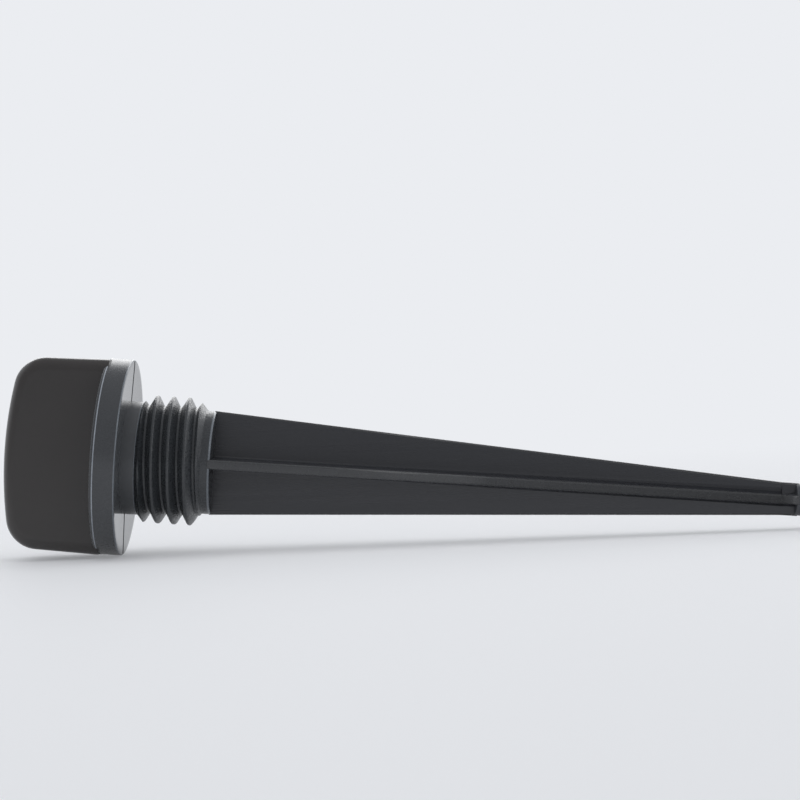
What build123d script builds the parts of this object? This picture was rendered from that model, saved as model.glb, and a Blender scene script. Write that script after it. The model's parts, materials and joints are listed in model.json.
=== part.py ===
from build123d import *
import os
from math import asin, atan2, cos, degrees, hypot, radians, sin, tan

# A screw-in oil filler cap with a dipstick, moulded as one piece: a grip bar, a flange, a neck, a coarse thread,
# a pilot and a long cross-ribbed stick with a round tip. It lies on its flange's rim and its tip.

# Driving dimensions in millimetres and degrees. Stations are heights along the cap's own axis, from the
# flange's sealing land: the grip is below zero and the tip of the stick far above it.
flange_radius = 15.4
flange_thickness = 3.8
flange_front_round = 0.65
land_edge_chamfer = 0.2
land_width = 1.0
dish_depth = 0.4

grip_thickness = 15.0
grip_crown_station = -18.6
grip_crown_radius = 62.0
grip_end_radius = 15.25
grip_end_draft = 1.5
grip_corner_round = 4.2
grip_edge_round = 1.0

neck_radius = 8.85
neck_end = 2.05
neck_foot_fill = 0.3

thread_radius = 10.0
thread_root_radius = 8.4
thread_pitch = 2.5
thread_half_angle = 30.0
thread_crest_width = 0.35
thread_sink = 0.2
thread_chamfer_angle = 50.0
thread_first_crest = 4.0
thread_run_out = 10.35

pilot_radius = 8.07
pilot_end = 13.4
pilot_edge_chamfer = 0.3

rib_root_station = 13.1
rib_root_height = 8.02
rib_tip_height = 2.45
rib_taper_end = 102.3
rib_edge_thickness = 1.4
rib_core_thickness = 1.8
rib_edge_chamfer = 0.15

tip_radius = 2.5
tip_start = 104.5
tip_end = 127.0
tip_end_round = 1.0
level_groove_stations = (109.0, 120.0)
level_groove_width = 0.8
level_groove_depth = 0.35

flange_front = -flange_thickness
chamfer_rise = tan(radians(thread_chamfer_angle))
thread_run_in = neck_end + (thread_radius - neck_radius) / chamfer_rise
root_end = thread_run_out + (thread_radius - thread_root_radius) / chamfer_rise
pilot_start = thread_run_out + (thread_radius - pilot_radius) / chamfer_rise


def corner(profile, radius, station):
    """The profile's corner that is nearest to a radius and a station."""
    return profile.vertices().sort_by_distance((radius, station))[0]


# One turn of the thread's V ridge, sharp at its crest and sunk a little into the root.
flank_slope = tan(radians(thread_half_angle))
ridge_apex = thread_radius + thread_crest_width / 2 / flank_slope
ridge_foot = thread_root_radius - thread_sink
ridge_half_width = (ridge_apex - ridge_foot) * flank_slope
ridge_start = thread_first_crest - 2 * thread_pitch
ridge_turns = 6

with BuildPart() as thread_turn:
    with BuildLine():
        winding = Helix(thread_pitch, thread_pitch, thread_root_radius, center=(0, 0, ridge_start))
    with BuildSketch(Plane.XZ):
        with BuildLine():
            Polyline(
                (ridge_foot, ridge_start - ridge_half_width),
                (ridge_apex, ridge_start),
                (ridge_foot, ridge_start + ridge_half_width),
                close=True,
            )
        make_face()
    sweep(path=winding, is_frenet=True)

# The thread: turns that run past both ends, trimmed to the major diameter and to a chamfer at each end.
with BuildPart() as thread:
    with Locations(*[(0, 0, turn * thread_pitch) for turn in range(ridge_turns)]):
        add(thread_turn.part)
    with BuildSketch(Plane.XZ):
        with BuildLine():
            Polyline(
                (0, neck_end),
                (neck_radius, neck_end),
                (thread_radius, thread_run_in),
                (thread_radius, thread_run_out),
                (pilot_radius, pilot_start),
                (0, pilot_start),
                close=True,
            )
        make_face()
    revolve(axis=Axis.Z, mode=Mode.INTERSECT)

# The whole moulding, upright on its own axis, with the grip bar's length along X.
grip_foot = flange_front + flange_front_round
grip_top_radius = grip_end_radius - (grip_foot - grip_crown_station) * tan(radians(grip_end_draft))
crown_centre = grip_crown_station + grip_crown_radius
crown_sweep = degrees(asin(grip_top_radius / grip_crown_radius))
rib_sections = (
    (rib_root_station, rib_root_height),
    (rib_taper_end, rib_tip_height),
    (tip_start, rib_tip_height),
)

with BuildPart() as upright:
    # Grip bar: a crowned knob with drafted sides and two flats, so that its ends follow the flange's circle.
    with BuildSketch(Plane.XZ) as knob:
        with BuildLine():
            crown = CenterArc((0, crown_centre), grip_crown_radius, 270, crown_sweep)
            Polyline(crown @ 1, (grip_end_radius, grip_foot), (0, grip_foot), crown @ 0)
        make_face()
        fillet(corner(knob, grip_top_radius, grip_crown_station), grip_corner_round)
    revolve(axis=Axis.Z)
    with BuildSketch(Plane.XY.offset(grip_crown_station)):
        Rectangle(2 * flange_radius, grip_thickness)
    extrude(amount=grip_foot - grip_crown_station, mode=Mode.INTERSECT)
    flat_edges = upright.faces().filter_by(Axis.Y).edges().sort_by(Axis.Z)
    fillet(flat_edges[:-2], grip_edge_round)

    # Flange with a flat sealing land and a dished underside, then the neck, the thread's root and the pilot.
    with BuildSketch(Plane.XZ) as plug:
        with BuildLine():
            Polyline(
                (0, flange_front),
                (flange_radius, flange_front),
                (flange_radius, 0),
                (flange_radius - land_width, 0),
                (neck_radius, -dish_depth),
                (neck_radius, neck_end),
                (thread_root_radius, neck_end),
                (thread_root_radius, root_end),
                (pilot_radius, pilot_start),
                (pilot_radius, pilot_end),
                (0, pilot_end),
                close=True,
            )
        make_face()
        fillet(corner(plug, flange_radius, flange_front), flange_front_round)
        chamfer(corner(plug, flange_radius, 0), land_edge_chamfer)
        chamfer(corner(plug, neck_radius, -dish_depth), neck_foot_fill)
        chamfer(corner(plug, pilot_radius, pilot_end), pilot_edge_chamfer)
    revolve(axis=Axis.Z)
    add(thread.part)

    # Stick: two crossed ribs with eased edges, which taper to a short parallel run.
    for station, height in rib_sections:
        with BuildSketch(Plane.XY.offset(station)) as cross:
            with PolarLocations(0, 4):
                Polygon(
                    (0, -rib_core_thickness / 2),
                    (height, -rib_edge_thickness / 2),
                    (height, rib_edge_thickness / 2),
                    (0, rib_core_thickness / 2),
                    align=None,
                )
            chamfer(cross.vertices().group_by(SortBy.DISTANCE)[-1], rib_edge_chamfer)
    loft(ruled=True)

    # Tip: a round rod with a rounded end and two shallow grooves that mark the oil level.
    with BuildSketch(Plane.XZ) as rod:
        with Locations((0, tip_start)):
            Rectangle(tip_radius, tip_end - tip_start, align=(Align.MIN, Align.MIN))
        with Locations(*[(tip_radius, station) for station in level_groove_stations]):
            Rectangle(2 * level_groove_depth, level_groove_width, mode=Mode.SUBTRACT)
        fillet(corner(rod, tip_radius, tip_end), tip_end_round)
    revolve(axis=Axis.Z)

# At rest the floor touches the rim beside the land and the tip's rounded end, which sets how far the axis leans.
end_radius = tip_radius - tip_end_round
end_station = tip_end - tip_end_round
span = end_station + land_edge_chamfer
drop = flange_radius - end_radius
lean = atan2(drop, span) - asin(tip_end_round / hypot(span, drop))

# The axis then points along +X and down to the tip, over the floor at Z = 0, with the box's middle over the origin.
back_end = crown_centre * cos(lean) - grip_crown_radius
front_end = end_station * cos(lean) + end_radius * sin(lean) + tip_end_round
land_height = flange_radius * cos(lean) - land_edge_chamfer * sin(lean)
lying = Plane(
    origin=(-(back_end + front_end) / 2, 0, land_height),
    x_dir=(sin(lean), 0, cos(lean)),
    z_dir=(cos(lean), 0, -sin(lean)),
)

with BuildPart(lying) as dipstick_cap:
    add(upright.part)

os.makedirs("parts", exist_ok=True)
dipstick_cap.part.label = "dipstick_cap"
export_step(dipstick_cap.part, "parts/dipstick_cap.step")
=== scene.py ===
import json
from math import asin, cos, pi, radians, sin, tan

import bmesh
import bpy
from mathutils import Matrix, Vector


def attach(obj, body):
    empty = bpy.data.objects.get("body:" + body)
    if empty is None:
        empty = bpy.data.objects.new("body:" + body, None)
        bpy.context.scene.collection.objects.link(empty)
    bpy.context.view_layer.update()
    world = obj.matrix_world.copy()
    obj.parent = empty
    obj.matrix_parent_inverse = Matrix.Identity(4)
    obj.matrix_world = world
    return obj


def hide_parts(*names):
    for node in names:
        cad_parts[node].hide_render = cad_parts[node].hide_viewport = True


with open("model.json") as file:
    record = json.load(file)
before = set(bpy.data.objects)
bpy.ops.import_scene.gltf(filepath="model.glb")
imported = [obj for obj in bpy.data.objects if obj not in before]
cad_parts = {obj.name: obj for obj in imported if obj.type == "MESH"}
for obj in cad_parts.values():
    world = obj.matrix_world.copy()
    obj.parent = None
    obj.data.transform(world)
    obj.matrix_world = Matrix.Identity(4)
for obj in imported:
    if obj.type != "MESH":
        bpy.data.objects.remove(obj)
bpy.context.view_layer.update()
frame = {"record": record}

# Camera: a short telephoto held low over the table, level and rolled two degrees, so that the cap fills the
# picture's width and its stick runs gently down to the right.
camera = bpy.data.objects.new("camera", bpy.data.cameras.new("camera"))
camera.data.sensor_width = 36.0
camera.data.lens = 87.75
camera.location = (-0.01104, -0.3056, 0.02265)
camera.rotation_euler = (radians(90), radians(2.235), 0)
bpy.context.collection.objects.link(camera)
bpy.context.scene.camera = camera
bpy.context.scene.view_settings.view_transform = "Standard"

# Grip bar: the finger hold on the cap's head, by which the whole moulding is turned. It is glass-filled
# nylon, moulded in one shot with all that follows, in a cavity polished to a soft gloss. Its ends stand nearly
# flush with the rim.
grip_thickness = 13.0
grip_half_length = 15.12
grip_foot = -3.15
grip_end_draft = radians(1.5)
grip_crown_station = -18.6
grip_crown_radius = 62.0
grip_corner_radius = 5.0
grip_edge_radius = 2.0

# Every piece is drawn in millimetres on the cap's own axis, which rises along Z from the sealing land, with X
# up as the cap lies. The record's seat says where that land is and which way the axis points.
seat = next(mount for mount in frame["record"]["mounts"] if mount["name"] == "seat")
cap_axis = Vector(seat["axis"])
cap_up = Vector((-cap_axis.z, 0, cap_axis.x))
lying = Matrix((cap_up, cap_axis.cross(cap_up), cap_axis)).transposed().to_4x4()
lying.translation = seat["pos_m"]
lying @= Matrix.Scale(0.001, 4)


def lay_down(drawing, name, *materials):
    """Closes a drawing's seams, lays it where the cap lies and makes it a smooth piece of those materials."""
    bmesh.ops.remove_doubles(drawing, verts=drawing.verts, dist=0.0005)
    bmesh.ops.recalc_face_normals(drawing, faces=drawing.faces)
    bmesh.ops.transform(drawing, matrix=lying, verts=drawing.verts)
    mesh = bpy.data.meshes.new(name)
    drawing.to_mesh(mesh)
    drawing.free()
    mesh.shade_smooth()
    mesh.set_sharp_from_angle(angle=radians(40))
    for material in materials:
        mesh.materials.append(material)
    piece = bpy.data.objects.new(name, mesh)
    bpy.context.collection.objects.link(piece)
    piece.modifiers.new("flat faces stay flat", "WEIGHTED_NORMAL").keep_sharp = True
    return piece


def linear(hex_colour):
    """An sRGB hex colour as linear values."""
    channels = [int(hex_colour[i : i + 2], 16) / 255 for i in (1, 3, 5)]
    return tuple(c / 12.92 if c <= 0.04045 else ((c + 0.055) / 1.055) ** 2.4 for c in channels) + (1.0,)


def add_node(tree, kind, inputs=None, **settings):
    """Adds a node with its settings, and fills or links its sockets."""
    added = tree.nodes.new(kind)
    for name, value in settings.items():
        setattr(added, name, value)
    for socket, value in (inputs or {}).items():
        if isinstance(value, bpy.types.NodeSocket):
            tree.links.new(value, added.inputs[socket])
        else:
            added.inputs[socket].default_value = value
    return added


def mould_skin(name, dark, pale, cloud_mm, rough, grain_mm, grain_depth_mm, stretch=(1, 1, 1)):
    """Moulded nylon: a clouded colour between two tones, and a grain that shows in relief and in gloss."""
    material = bpy.data.materials.new(name)
    material.use_nodes = True
    tree = material.node_tree
    shader = tree.nodes["Principled BSDF"]
    shader.inputs["IOR"].default_value = 1.53
    place = add_node(tree, "ShaderNodeTexCoord").outputs["Object"]
    run = add_node(tree, "ShaderNodeMapping", {"Vector": place, "Scale": stretch}).outputs["Vector"]
    cloud = add_node(tree, "ShaderNodeTexNoise", {"Vector": run, "Scale": 1000 / cloud_mm, "Detail": 3.0})
    tone = add_node(
        tree,
        "ShaderNodeMix",
        {"Factor": cloud.outputs["Fac"], 6: linear(dark), 7: linear(pale)},
        data_type="RGBA",
    )
    tree.links.new(tone.outputs[2], shader.inputs["Base Color"])
    grain = add_node(tree, "ShaderNodeTexNoise", {"Vector": run, "Scale": 1000 / grain_mm, "Detail": 2.0})
    gloss = add_node(
        tree,
        "ShaderNodeMapRange",
        {
            "Value": grain.outputs["Fac"],
            "From Min": 0.3,
            "From Max": 0.7,
            "To Min": rough[0],
            "To Max": rough[1],
        },
    )
    tree.links.new(gloss.outputs["Result"], shader.inputs["Roughness"])
    relief = add_node(
        tree,
        "ShaderNodeBump",
        {"Height": grain.outputs["Fac"], "Strength": 1.0, "Distance": grain_depth_mm / 1000},
    )
    tree.links.new(relief.outputs["Normal"], shader.inputs["Normal"])
    return material


# Half of the bar's outline: the crown's arc, the corner's arc, the drafted end and the foot, then its mirror
# image. The two arcs meet where their tangents agree.
crown_centre = grip_crown_station + grip_crown_radius
inner_crown = grip_crown_radius - grip_corner_radius
corner_reach = grip_half_length * cos(grip_end_draft) - grip_foot * sin(grip_end_draft) - grip_corner_radius
crown_turn = asin((corner_reach + crown_centre * sin(grip_end_draft)) / inner_crown) - grip_end_draft
corner_centre = Vector((sin(crown_turn), 0, -cos(crown_turn))) * inner_crown
corner_centre.z += crown_centre
corner_turn = pi / 2 - grip_end_draft - crown_turn

grip = bmesh.new()
across = (0, -1, 0)
crown = grip.verts.new((0, -grip_thickness / 2, grip_crown_station))
arc = bmesh.ops.spin(
    grip, geom=[crown], cent=(0, 0, crown_centre), axis=across, angle=crown_turn, steps=24
)
arc = bmesh.ops.spin(
    grip, geom=arc["geom_last"], cent=corner_centre, axis=across, angle=corner_turn, steps=14
)
end = bmesh.ops.extrude_vert_indiv(grip, verts=arc["geom_last"])["verts"]
end[0].co = (grip_half_length, -grip_thickness / 2, grip_foot)
end = bmesh.ops.extrude_vert_indiv(grip, verts=end)["verts"]
end[0].co.x = 0
bmesh.ops.mirror(grip, geom=grip.verts[:] + grip.edges[:], matrix=Matrix(), merge_dist=0.001, axis="X")
bmesh.ops.contextual_create(grip, geom=grip.edges[:])
far_side = bmesh.ops.extrude_face_region(grip, geom=grip.faces[:], use_keep_orig=True)["geom"]
far_side = [g for g in far_side if isinstance(g, bmesh.types.BMVert)]
bmesh.ops.translate(grip, verts=far_side, vec=(0, grip_thickness, 0))
bmesh.ops.recalc_face_normals(grip, faces=grip.faces)
flat_edges = [
    edge
    for edge in grip.edges
    if edge.verts[0].co.y * edge.verts[1].co.y > 0 and min(v.co.z for v in edge.verts) < grip_foot - 0.01
]
bmesh.ops.bevel(
    grip,
    geom=flat_edges,
    offset=grip_edge_radius,
    affect="EDGES",
    segments=10,
    profile=0.5,
    material=-1,
)

# Polished nylon: an even, warm near-black with a soft gloss. Seen close, the skin is faintly uneven where the
# melt cooled, and its gloss is a little broken by handling.
grip_nylon = mould_skin(
    "grip_polished_nylon",
    dark="#363332",
    pale="#3a3736",
    cloud_mm=7.0,
    rough=(0.21, 0.27),
    grain_mm=1.6,
    grain_depth_mm=0.0015,
)

grip_bar = lay_down(grip, "grip_bar", grip_nylon)
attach(grip_bar, "root")
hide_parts("dipstick_cap")

# Flange: the round collar under the grip, which closes the filler hole with the narrow flat land at the edge
# of its underside. It is one with the grip. Where the mould's parts met, a low bead runs round the rim's front
# edge, and a thin flash stands across its underside.
flange_radius = 15.4
flange_front = -3.8
flange_front_round = 0.28
rim_radius = 15.32
bead_station = -3.3
bead_half_width = 0.2
bead_round = 0.09
land_edge_round = 0.2
land_inner = 14.4
dish_depth = 0.15
neck_radius = 8.85
flash_height = 0.06
flash_thickness = 0.1
flash_root = 0.1


def turn(profile, steps=192):
    """A drawing of a turned form, from its radii and stations along the axis."""
    drawing = bmesh.new()
    chain = [drawing.verts.new((radius, 0, station)) for radius, station in profile]
    line = [drawing.edges.new(pair) for pair in zip(chain, chain[1:])]
    bmesh.ops.spin(
        drawing,
        geom=chain + line,
        cent=(0, 0, 0),
        axis=(0, 0, 1),
        angle=2 * pi,
        steps=steps,
        use_merge=True,
    )
    bmesh.ops.remove_doubles(drawing, verts=drawing.verts, dist=0.0005)
    bmesh.ops.recalc_face_normals(drawing, faces=drawing.faces)
    return drawing


def ease(drawing, radius, station, size, segments):
    """Rounds a turned form's ring edge at a radius and a station, and returns the new faces."""
    ring = [
        edge
        for edge in drawing.edges
        if all(abs(v.co.xy.length - radius) < 0.01 and abs(v.co.z - station) < 0.01 for v in edge.verts)
    ]
    made = bmesh.ops.bevel(
        drawing, geom=ring, offset=size, affect="EDGES", segments=segments, profile=0.5, material=-1
    )
    return made["faces"]


collar = turn(
    [
        (0, flange_front),
        (rim_radius, flange_front),
        (rim_radius, bead_station - bead_half_width),
        (flange_radius, bead_station),
        (rim_radius, bead_station + bead_half_width),
        (rim_radius, 0),
        (land_inner, 0),
        (neck_radius, -dish_depth),
        (0, -dish_depth),
    ],
    steps=256,
)

# The flange's materials in order: the rim's, then the seal face's, the edges' painted highlight and the bead's
# painted highlight.
seal_face_painted_reflection_skin = 1
edge_highlight_skin = 2
bead_highlight_skin = 3
ease(collar, rim_radius, flange_front, flange_front_round, segments=6)
bead_faces = ease(collar, flange_radius, bead_station, bead_round, segments=3)
edge_highlight_faces = ease(collar, rim_radius, 0, land_edge_round, segments=4)
# The underside's faces take the seal face's painted reflection.
for face in collar.faces:
    if face.normal.z > 0.95:
        face.material_index = seal_face_painted_reflection_skin
# The land's edge round takes the painted highlight.
for face in edge_highlight_faces:
    face.material_index = edge_highlight_skin
# The bead's faces take the painted highlight.
for face in bead_faces:
    face.material_index = bead_highlight_skin

# The flash: a thin fin that follows the dish and the land, above and below the neck.
fin_spans = (
    (neck_radius - flash_root, -dish_depth, land_inner, 0),
    (land_inner, 0, rim_radius - land_edge_round, 0),
)
for side in (1, -1):
    for inner, inner_station, outer, outer_station in fin_spans:
        fin = bmesh.ops.create_cube(collar, size=1.0)["verts"]
        for vertex in fin:
            at_inner = vertex.co.x * side < 0
            vertex.co.x = side * (inner if at_inner else outer)
            vertex.co.y *= flash_thickness
            vertex.co.z = (inner_station if at_inner else outer_station) + flash_height * 2 * vertex.co.z

# Satin nylon on the rim, with a finer grain than the grip: its cooler, paler tone is painted reflection of the
# light round the cap.
rim_painted_reflection_nylon = mould_skin(
    "rim_satin_painted_reflection_nylon",
    dark="#3d3f42",
    pale="#45474a",
    cloud_mm=5.0,
    rough=(0.25, 0.31),
    grain_mm=0.7,
    grain_depth_mm=0.0012,
)

# Flat-moulded nylon on the underside: the flat face of the mould left it smoother than the rest, so that it
# mirrors the light behind it. Its paler tone is painted reflection of that light.
seal_face_painted_reflection_nylon = mould_skin(
    "seal_face_painted_reflection_nylon",
    dark="#44474a",
    pale="#4d5053",
    cloud_mm=4.0,
    rough=(0.03, 0.07),
    grain_mm=0.9,
    grain_depth_mm=0.0004,
)

# Painted highlight along the small edge rounds: a paler, patchy grey that stands in for the thin bright lines
# of light they catch.
edge_highlight_nylon = mould_skin(
    "painted_edge_highlight_nylon",
    dark="#5c6167",
    pale="#7b8188",
    cloud_mm=1.2,
    rough=(0.2, 0.3),
    grain_mm=0.5,
    grain_depth_mm=0.001,
)

# Painted highlight on the bead: a thin, pale line, nearly white in places, that stands in for the light the
# bead catches along the rim's front edge.
bead_highlight_nylon = mould_skin(
    "painted_highlight_bead_nylon",
    dark="#7c828a",
    pale="#b2b8c0",
    cloud_mm=1.8,
    rough=(0.2, 0.3),
    grain_mm=0.5,
    grain_depth_mm=0.001,
)

flange = lay_down(collar, "flange", rim_painted_reflection_nylon, seal_face_painted_reflection_nylon, edge_highlight_nylon, bead_highlight_nylon)
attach(flange, "root")
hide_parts("dipstick_cap")

# Threaded plug: the neck, a coarse right-hand thread of 2.5 mm pitch and 20 mm diameter, and the plain pilot
# that finds the hole first. It was moulded between two halves whose cavities were spark-eroded, which left a
# fine grain.
neck_foot = -0.65
neck_end = 2.05
neck_end_round = 0.15
thread_radius = 10.0
thread_root_radius = 8.4
thread_root_start = 2.15
thread_pitch = 2.5
thread_flank = tan(radians(30))
thread_crest_width = 0.35
thread_chamfer = tan(radians(50))
thread_first_crest = 4.0
thread_run_out = 10.35
pilot_radius = 8.07
pilot_end = 13.4
pilot_end_round = 0.3

root_end = thread_run_out + (thread_radius - thread_root_radius) / thread_chamfer
pilot_start = thread_run_out + (thread_radius - pilot_radius) / thread_chamfer
plug = turn(
    [
        (0, neck_foot),
        (neck_radius, neck_foot),
        (neck_radius, neck_end),
        (thread_root_radius, thread_root_start),
        (thread_root_radius, root_end),
        (pilot_radius, pilot_start),
        (pilot_radius, pilot_end),
        (0, pilot_end),
    ]
)

# The plug's materials in order: the thread's, then the neck's painted light and the edges' painted highlight.
neck_painted_light_skin = 1
neck_painted_light_skin_end = neck_end - 0.2
edge_highlight_faces = ease(plug, neck_radius, neck_end, neck_end_round, segments=3)
edge_highlight_faces += ease(plug, pilot_radius, pilot_end, pilot_end_round, segments=4)
# The neck's and the pilot's end rounds take the painted highlight.
for face in edge_highlight_faces:
    face.material_index = edge_highlight_skin
# The neck's faces take its painted light.
for face in plug.faces:
    if face.calc_center_median().z < neck_painted_light_skin_end:
        face.material_index = neck_painted_light_skin

# The thread's ridge starts inside the flange and winds to inside the pilot. Each point that stands outside
# the thread's major diameter, or outside the chamfer at either end, is drawn in to it, and past the chamfers
# the ridge hides inside the neck and the pilot.
apex = thread_radius + thread_crest_width / 2 / thread_flank
ridge_start = thread_first_crest - 2 * thread_pitch
ridge_stop = pilot_end - 0.4
ridge_turns = 5.5
turn_steps = 120
hidden_in_neck = neck_radius - 0.2
hidden_in_pilot = pilot_radius - 0.1
flank_radii = (8.2, 8.5, 8.8, 9.1, 9.4, 9.7, 9.9)
rounded_crest = [(9.985, -0.15), (10.0, -0.07), (10.0, 0.07), (9.985, 0.15)]
ridge_profile = [(radius, -(apex - radius) * thread_flank) for radius in flank_radii]
ridge_profile += rounded_crest
ridge_profile += [(radius, (apex - radius) * thread_flank) for radius in reversed(flank_radii)]
chain = [plug.verts.new((radius, 0, ridge_start + height)) for radius, height in ridge_profile]
line = [plug.edges.new(pair) for pair in zip(chain, chain[1:])]
turned_part = set(plug.verts) - set(chain)
bmesh.ops.spin(
    plug,
    geom=chain + line,
    cent=(0, 0, 0),
    axis=(0, 0, 1),
    angle=2 * pi * ridge_turns,
    dvec=(0, 0, thread_pitch / turn_steps),
    steps=int(ridge_turns * turn_steps),
)
for vertex in set(plug.verts) - turned_part:
    vertex.co.z = min(vertex.co.z, ridge_stop)
    station = vertex.co.z
    if station < neck_end:
        limit = hidden_in_neck
    elif station > pilot_start:
        limit = hidden_in_pilot
    else:
        run_in = neck_radius + (station - neck_end) * thread_chamfer
        run_out = thread_radius - (station - thread_run_out) * thread_chamfer
        limit = min(thread_radius, run_in, run_out)
    reach = vertex.co.xy.length
    if reach > limit:
        vertex.co.xy *= limit / reach

# Spark-eroded nylon on the thread and pilot: a dry satin black. The grain is near a tenth of a millimetre on
# the real one and is drawn nearly four times as coarse, so that it glints along the crests as it does there.
thread_nylon = mould_skin(
    "thread_grained_nylon",
    dark="#323437",
    pale="#3c3f42",
    cloud_mm=3.0,
    rough=(0.22, 0.42),
    grain_mm=0.38,
    grain_depth_mm=0.07,
)

# Satin nylon on the neck, drier than the rim: its paler tone is painted light, which keeps it bright in the
# shade of the gap between flange and thread.
neck_painted_light_nylon = mould_skin(
    "neck_satin_painted_light_nylon",
    dark="#4c4e51",
    pale="#585a5d",
    cloud_mm=4.0,
    rough=(0.3, 0.38),
    grain_mm=0.7,
    grain_depth_mm=0.0012,
)

threaded_plug = lay_down(plug, "threaded_plug", thread_nylon, neck_painted_light_nylon, edge_highlight_nylon)
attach(threaded_plug, "root")
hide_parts("dipstick_cap")

# Stick: two thin ribs crossed on the axis, as stiff as a rod with far less plastic. They taper from the pilot
# to a short parallel run, and their outer edges and inner corners are rounded so that the moulding leaves its
# cavity.
rib_stations = (13.1, 102.3, 104.9)
rib_heights = (8.15, 2.58, 2.58)
rib_edge_thickness = 1.4
rib_core_thickness = 1.76
rib_edge_round = 0.3
rib_corner_fill = 0.35

# The section is a square core with one rib grown from each side. It is drawn out to the taper's end and then
# through the parallel run.
ribs = bmesh.new()
core = bmesh.ops.create_grid(ribs, x_segments=1, y_segments=1, size=rib_core_thickness / 2)["verts"]
bmesh.ops.translate(ribs, verts=core, vec=(0, 0, rib_stations[0]))
for edge in ribs.edges[:]:
    outward = (edge.verts[0].co + edge.verts[1].co) / 2
    outward.z = 0
    outward.normalize()
    grown = bmesh.ops.extrude_edge_only(ribs, edges=[edge])["geom"]
    for vertex in [g for g in grown if isinstance(g, bmesh.types.BMVert)]:
        aside = vertex.co - outward * vertex.co.dot(outward)
        aside.z = 0
        vertex.co = outward * rib_heights[0] + aside.normalized() * rib_edge_thickness / 2
        vertex.co.z = rib_stations[0]
section = ribs.faces[:]
for k in (1, 2):
    grown = bmesh.ops.extrude_face_region(ribs, geom=section, use_keep_orig=k == 1)["geom"]
    section = [g for g in grown if isinstance(g, bmesh.types.BMFace)]
    for vertex in [g for g in grown if isinstance(g, bmesh.types.BMVert)]:
        vertex.co.z = rib_stations[k]
        if abs(vertex.co.x) > rib_core_thickness:
            vertex.co.x *= rib_heights[k] / abs(vertex.co.x)
        if abs(vertex.co.y) > rib_core_thickness:
            vertex.co.y *= rib_heights[k] / abs(vertex.co.y)
bmesh.ops.recalc_face_normals(ribs, faces=ribs.faces)
long_edges = [edge for edge in ribs.edges if abs(edge.verts[0].co.z - edge.verts[1].co.z) > 1]
outer_edges = [edge for edge in long_edges if edge.verts[0].co.xy.length > rib_core_thickness]
inner_edges = [edge for edge in long_edges if edge.verts[0].co.xy.length < rib_core_thickness]
for edges, size in ((outer_edges, rib_edge_round), (inner_edges, rib_corner_fill)):
    bmesh.ops.bevel(ribs, geom=edges, offset=size, affect="EDGES", segments=4, profile=0.5, material=-1)

# The stick's materials in order: the ribs' sides, then their outer edges' painted sheen.
rib_edge_painted_sheen_skin = 1
# The ribs' outer edges take the painted sheen.
for face in ribs.faces:
    if min(v.co.xy.length for v in face.verts) > rib_core_thickness:
        face.material_index = rib_edge_painted_sheen_skin

# Flow-lined nylon: the melt ran the whole length of the stick, so its smooth dark skin is finely lined.
stick_nylon = mould_skin(
    "stick_flow_lined_nylon",
    dark="#323337",
    pale="#38393d",
    cloud_mm=1.5,
    rough=(0.25, 0.32),
    grain_mm=0.6,
    grain_depth_mm=0.002,
    stretch=(1 / 40, 1, 1),
)

# Painted sheen on the ribs' outer edges: a little paler and less even than their sides, for the light these
# narrow faces catch.
rib_edge_painted_sheen_nylon = mould_skin(
    "rib_edge_painted_sheen_nylon",
    dark="#3b3c3e",
    pale="#454648",
    cloud_mm=1.5,
    rough=(0.2, 0.3),
    grain_mm=0.6,
    grain_depth_mm=0.001,
)

ribbed_stick = lay_down(ribs, "ribbed_stick", stick_nylon, rib_edge_painted_sheen_nylon)
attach(ribbed_stick, "root")
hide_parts("dipstick_cap")

# Tip: the round end of the stick that dips into the oil, with two grooves turned into its mould that mark the
# highest and the lowest level. It is the same nylon as the rest of the moulding.
tip_radius = 2.5
tip_start = 104.5
tip_start_round = 0.15
tip_end = 127.0
tip_end_round = 1.0
level_grooves = (109.0, 120.0)
groove_width = 0.8
groove_depth = 0.35

tip_profile = [(0, tip_start), (tip_radius, tip_start)]
for station in level_grooves:
    tip_profile += [
        (tip_radius, station - groove_width / 2),
        (tip_radius - groove_depth, station - groove_width / 2),
        (tip_radius - groove_depth, station + groove_width / 2),
        (tip_radius, station + groove_width / 2),
    ]
tip_profile += [(tip_radius, tip_end), (0, tip_end)]
rod = turn(tip_profile, steps=96)
ease(rod, tip_radius, tip_start, tip_start_round, segments=3)
ease(rod, tip_radius, tip_end, tip_end_round, segments=8)

# Matt nylon with a fine tooth, duller than the ribs: its greyer tone is painted light, for the light its round
# side catches from above.
tip_painted_light_nylon = mould_skin(
    "tip_matt_painted_light_nylon",
    dark="#3c3e42",
    pale="#484a4f",
    cloud_mm=2.0,
    rough=(0.36, 0.5),
    grain_mm=0.3,
    grain_depth_mm=0.01,
)

round_tip = lay_down(rod, "round_tip", tip_painted_light_nylon)
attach(round_tip, "root")
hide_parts("dipstick_cap")

# Floor: a wide sheet of pale, matt board. For the camera it has a share of the backdrop's own brightness,
# which lightens the shadow a little, and far behind the cap it takes on all of it, so that no horizon shows.
backdrop_colour = linear("#ebedf1")
near_share = 0.28
fade_start = 0.01
fade_end = 0.45

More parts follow.
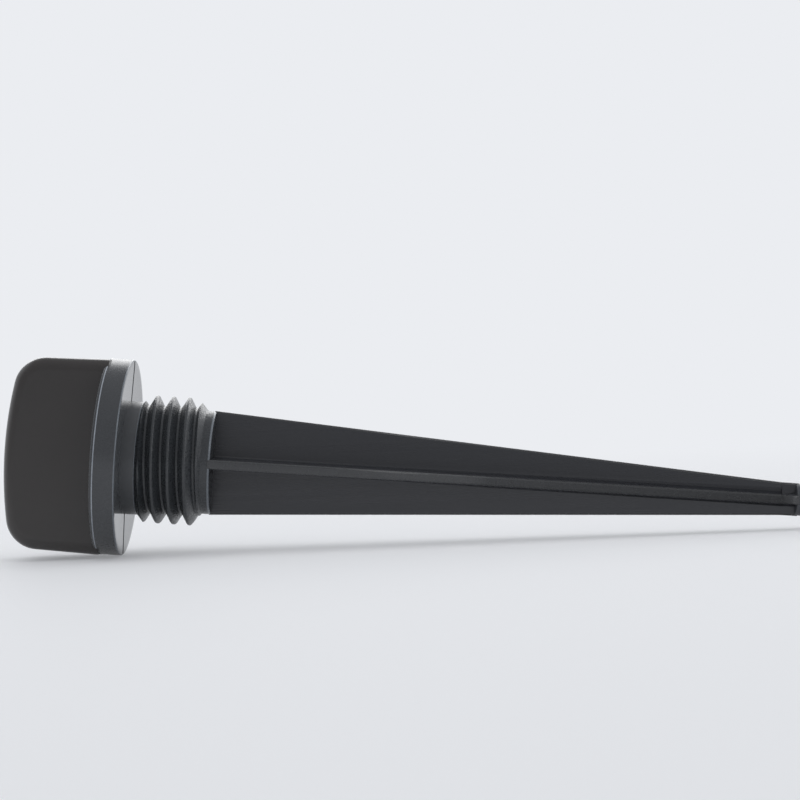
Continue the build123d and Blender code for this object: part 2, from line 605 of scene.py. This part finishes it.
sheet = bmesh.new()
bmesh.ops.create_grid(sheet, x_segments=1, y_segments=1, size=8.0)
floor_mesh = bpy.data.meshes.new("floor")
sheet.to_mesh(floor_mesh)
sheet.free()
floor = bpy.data.objects.new("floor", floor_mesh)
bpy.context.collection.objects.link(floor)
board = bpy.data.materials.new("pale_board")
board.use_nodes = True
tree = board.node_tree
shader = tree.nodes["Principled BSDF"]
shader.inputs["Base Color"].default_value = linear("#ecedef")
shader.inputs["Roughness"].default_value = 0.6
shader.inputs["Specular IOR Level"].default_value = 0.05
place = add_node(tree, "ShaderNodeTexCoord").outputs["Object"]
depth = add_node(tree, "ShaderNodeSeparateXYZ", {"Vector": place}).outputs["Y"]
far = add_node(
    tree,
    "ShaderNodeMapRange",
    {"Value": depth, "From Min": fade_start, "From Max": fade_end, "To Min": near_share},
    interpolation_type="SMOOTHSTEP",
).outputs["Result"]
rays = add_node(tree, "ShaderNodeLightPath").outputs
seen = add_node(
    tree, "ShaderNodeMath", {0: rays["Is Camera Ray"], 1: rays["Is Glossy Ray"]}, operation="MAXIMUM"
).outputs[0]
fade = add_node(tree, "ShaderNodeMath", {0: far, 1: seen}, operation="MULTIPLY").outputs[0]
glow = add_node(tree, "ShaderNodeEmission", {"Color": backdrop_colour}).outputs[0]
sweep = add_node(tree, "ShaderNodeMixShader", {0: fade, 1: shader.outputs[0], 2: glow}).outputs[0]
tree.links.new(sweep, tree.nodes["Material Output"].inputs["Surface"])
floor_mesh.materials.append(board)

# Light: a pale tent. What the gloss mirrors of it is bright behind the cap and at its sides, and dim overhead
# and on the camera's side. On matt surfaces it falls evenly, and the camera sees a plain backdrop.
dim_level = 0.46
matt_level = 0.64
world = bpy.data.worlds.new("studio")
world.use_nodes = True
bpy.context.scene.world = world
tree = world.node_tree
background = tree.nodes["Background"]
direction = add_node(tree, "ShaderNodeTexCoord").outputs["Generated"]
parts = add_node(tree, "ShaderNodeSeparateXYZ", {"Vector": direction}).outputs
behind = add_node(
    tree,
    "ShaderNodeMapRange",
    {"Value": parts["Y"], "From Min": -0.4, "From Max": 0.1},
    interpolation_type="SMOOTHSTEP",
).outputs["Result"]
low = add_node(
    tree,
    "ShaderNodeMapRange",
    {"Value": parts["Z"], "From Min": 0.66, "From Max": 0.86, "To Min": 1.0, "To Max": 0.0},
    interpolation_type="SMOOTHSTEP",
).outputs["Result"]
tent = add_node(tree, "ShaderNodeMath", {0: behind, 1: low}, operation="MULTIPLY").outputs[0]
mirrored = add_node(
    tree, "ShaderNodeMapRange", {"Value": tent, "To Min": dim_level, "To Max": 1.0}
).outputs["Result"]
rays = add_node(tree, "ShaderNodeLightPath").outputs
lit = add_node(
    tree, "ShaderNodeMix", {0: rays["Is Glossy Ray"], 2: matt_level, 3: mirrored}, data_type="FLOAT"
).outputs[0]
level = add_node(
    tree, "ShaderNodeMix", {0: rays["Is Camera Ray"], 2: lit, 3: 1.0}, data_type="FLOAT"
).outputs[0]
background.inputs["Color"].default_value = backdrop_colour
tree.links.new(level, background.inputs["Strength"])

# Three soft boxes aim at the cap's head: one behind it, whose gleam rakes the upper edges, a tall one to the
# right of the camera, which draws the thin bright lines of the edges, and a wide one above, which lights matt
# surfaces alone and casts the soft shadow.
head_middle = Vector((-0.05, 0, 0.015))
soft_boxes = {
    "back_box": {
        "spot": (0.0, 0.85, 0.46),
        "size": (1.1, 0.55),
        "watts": 3.6,
        "matt": False,
        "gleam": True,
    },
    "right_box": {
        "spot": (0.8, -0.42, 0.35),
        "size": (0.3, 0.6),
        "watts": 1.2,
        "matt": False,
        "gleam": True,
    },
    "top_box": {
        "spot": (-0.02, 0.06, 0.8),
        "size": (1.0, 1.0),
        "watts": 2.7,
        "matt": True,
        "gleam": False,
    },
}
for name, box in soft_boxes.items():
    light = bpy.data.lights.new(name, "AREA")
    light.shape = "RECTANGLE"
    light.size, light.size_y = box["size"]
    light.energy = box["watts"]
    lamp = bpy.data.objects.new(name, light)
    lamp.location = box["spot"]
    aim = head_middle - lamp.location
    lamp.rotation_euler = aim.to_track_quat("-Z", "Y").to_euler()
    lamp.visible_camera = False
    lamp.visible_diffuse = box["matt"]
    lamp.visible_glossy = box["gleam"]
    bpy.context.collection.objects.link(lamp)
